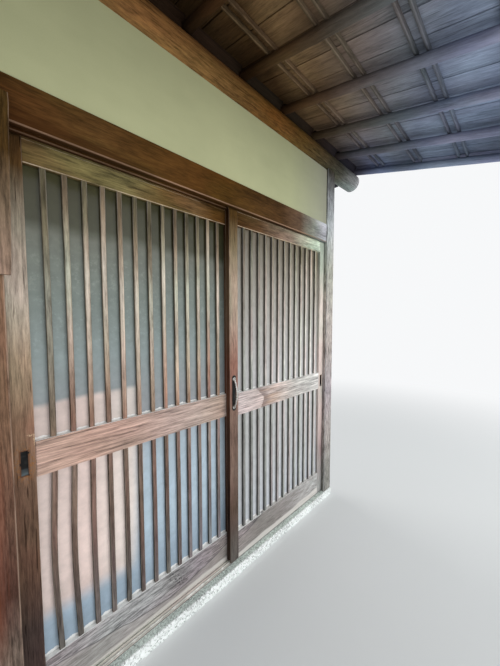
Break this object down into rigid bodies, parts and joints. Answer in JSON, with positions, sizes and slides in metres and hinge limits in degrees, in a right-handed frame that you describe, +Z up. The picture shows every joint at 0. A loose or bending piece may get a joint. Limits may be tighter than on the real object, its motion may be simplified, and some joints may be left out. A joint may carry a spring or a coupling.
{
  "type": "entrance bay of a timber townhouse with sliding lattice doors",
  "caption": "Timber townhouse entrance bay: glazed lattice sliding doors between posts, plaster panel and round log above, tiled eave on round rafters.",
  "frame": {"origin": "on the outer side face of the left post, in the middle of its depth, at its foot on the threshold stone", "axes": "+X along the wall to the right as seen from the street, +Y into the house, +Z up"},
  "size_m": [2.576, 1.4144, 2.796],
  "materials": {
    "stone": "rough dressed stone, worn and stained",
    "sill_wood": "dark worn boards",
    "rail_metal": "polished by use on top",
    "post_wood": "brown oiled cedar",
    "corner_post_wood": "grey weathered cedar",
    "beam_wood": "brown stained timber",
    "plaster": "smooth grey green plaster",
    "log_wood": "peeled log with fine cracks",
    "rafter_wood": "peeled round poles",
    "batten_wood": "pale split battens",
    "board_wood": "sawn boards",
    "roof_tile": "smoked grey clay tile",
    "name_board_wood": "planed board, bare",
    "door_wood": "oiled cedar",
    "bar_wood": "oiled cedar",
    "door_glass": "old clear glass",
    "wheel_brass": "turned",
    "handle_iron": "black"
  },
  "bodies": {
    "entrance_frame": {"threshold_stone": "stone", "sill_board": "sill_wood", "door_rails": "rail_metal", "left_post": "post_wood", "corner_post": "corner_post_wood", "head_beam": "beam_wood", "plaster_panel": "plaster", "log_purlin": "log_wood", "infill_boards": "beam_wood", "left_edge_rafter": "rafter_wood", "rafter_2": "rafter_wood", "rafter_3": "rafter_wood", "rafter_4": "rafter_wood", "rafter_5": "rafter_wood", "rafter_6": "rafter_wood", "rafter_7": "rafter_wood", "rafter_8": "rafter_wood", "right_edge_rafter": "rafter_wood", "battens": "batten_wood", "roof_boards": "board_wood", "eave_board": "board_wood", "roof_tiles": "roof_tile", "wall_ledger": "beam_wood", "name_board": "name_board_wood"},
    "left_door": {"left_door_left_stile": "door_wood", "left_door_right_stile": "door_wood", "left_door_top_rail": "door_wood", "left_door_mid_rail": "door_wood", "left_door_bottom_rail": "door_wood", "left_door_bars": "bar_wood", "left_door_glass": "door_glass", "left_door_wheels": "wheel_brass"},
    "right_door": {"right_door_left_stile": "door_wood", "right_door_right_stile": "door_wood", "right_door_top_rail": "door_wood", "right_door_mid_rail": "door_wood", "right_door_bottom_rail": "door_wood", "right_door_bars": "bar_wood", "right_door_glass": "door_glass", "right_door_wheels": "wheel_brass", "right_door_handle": "handle_iron"}
  },
  "joints": [
    {"name": "left_door_slide", "type": "slide", "parent": "entrance_frame", "child": "left_door", "axis": [1, 0, 0], "range_m": [0, 0.829]},
    {"name": "right_door_slide", "type": "slide", "parent": "entrance_frame", "child": "right_door", "axis": [-1, 0, 0], "range_m": [0, 0.829]}
  ]
}
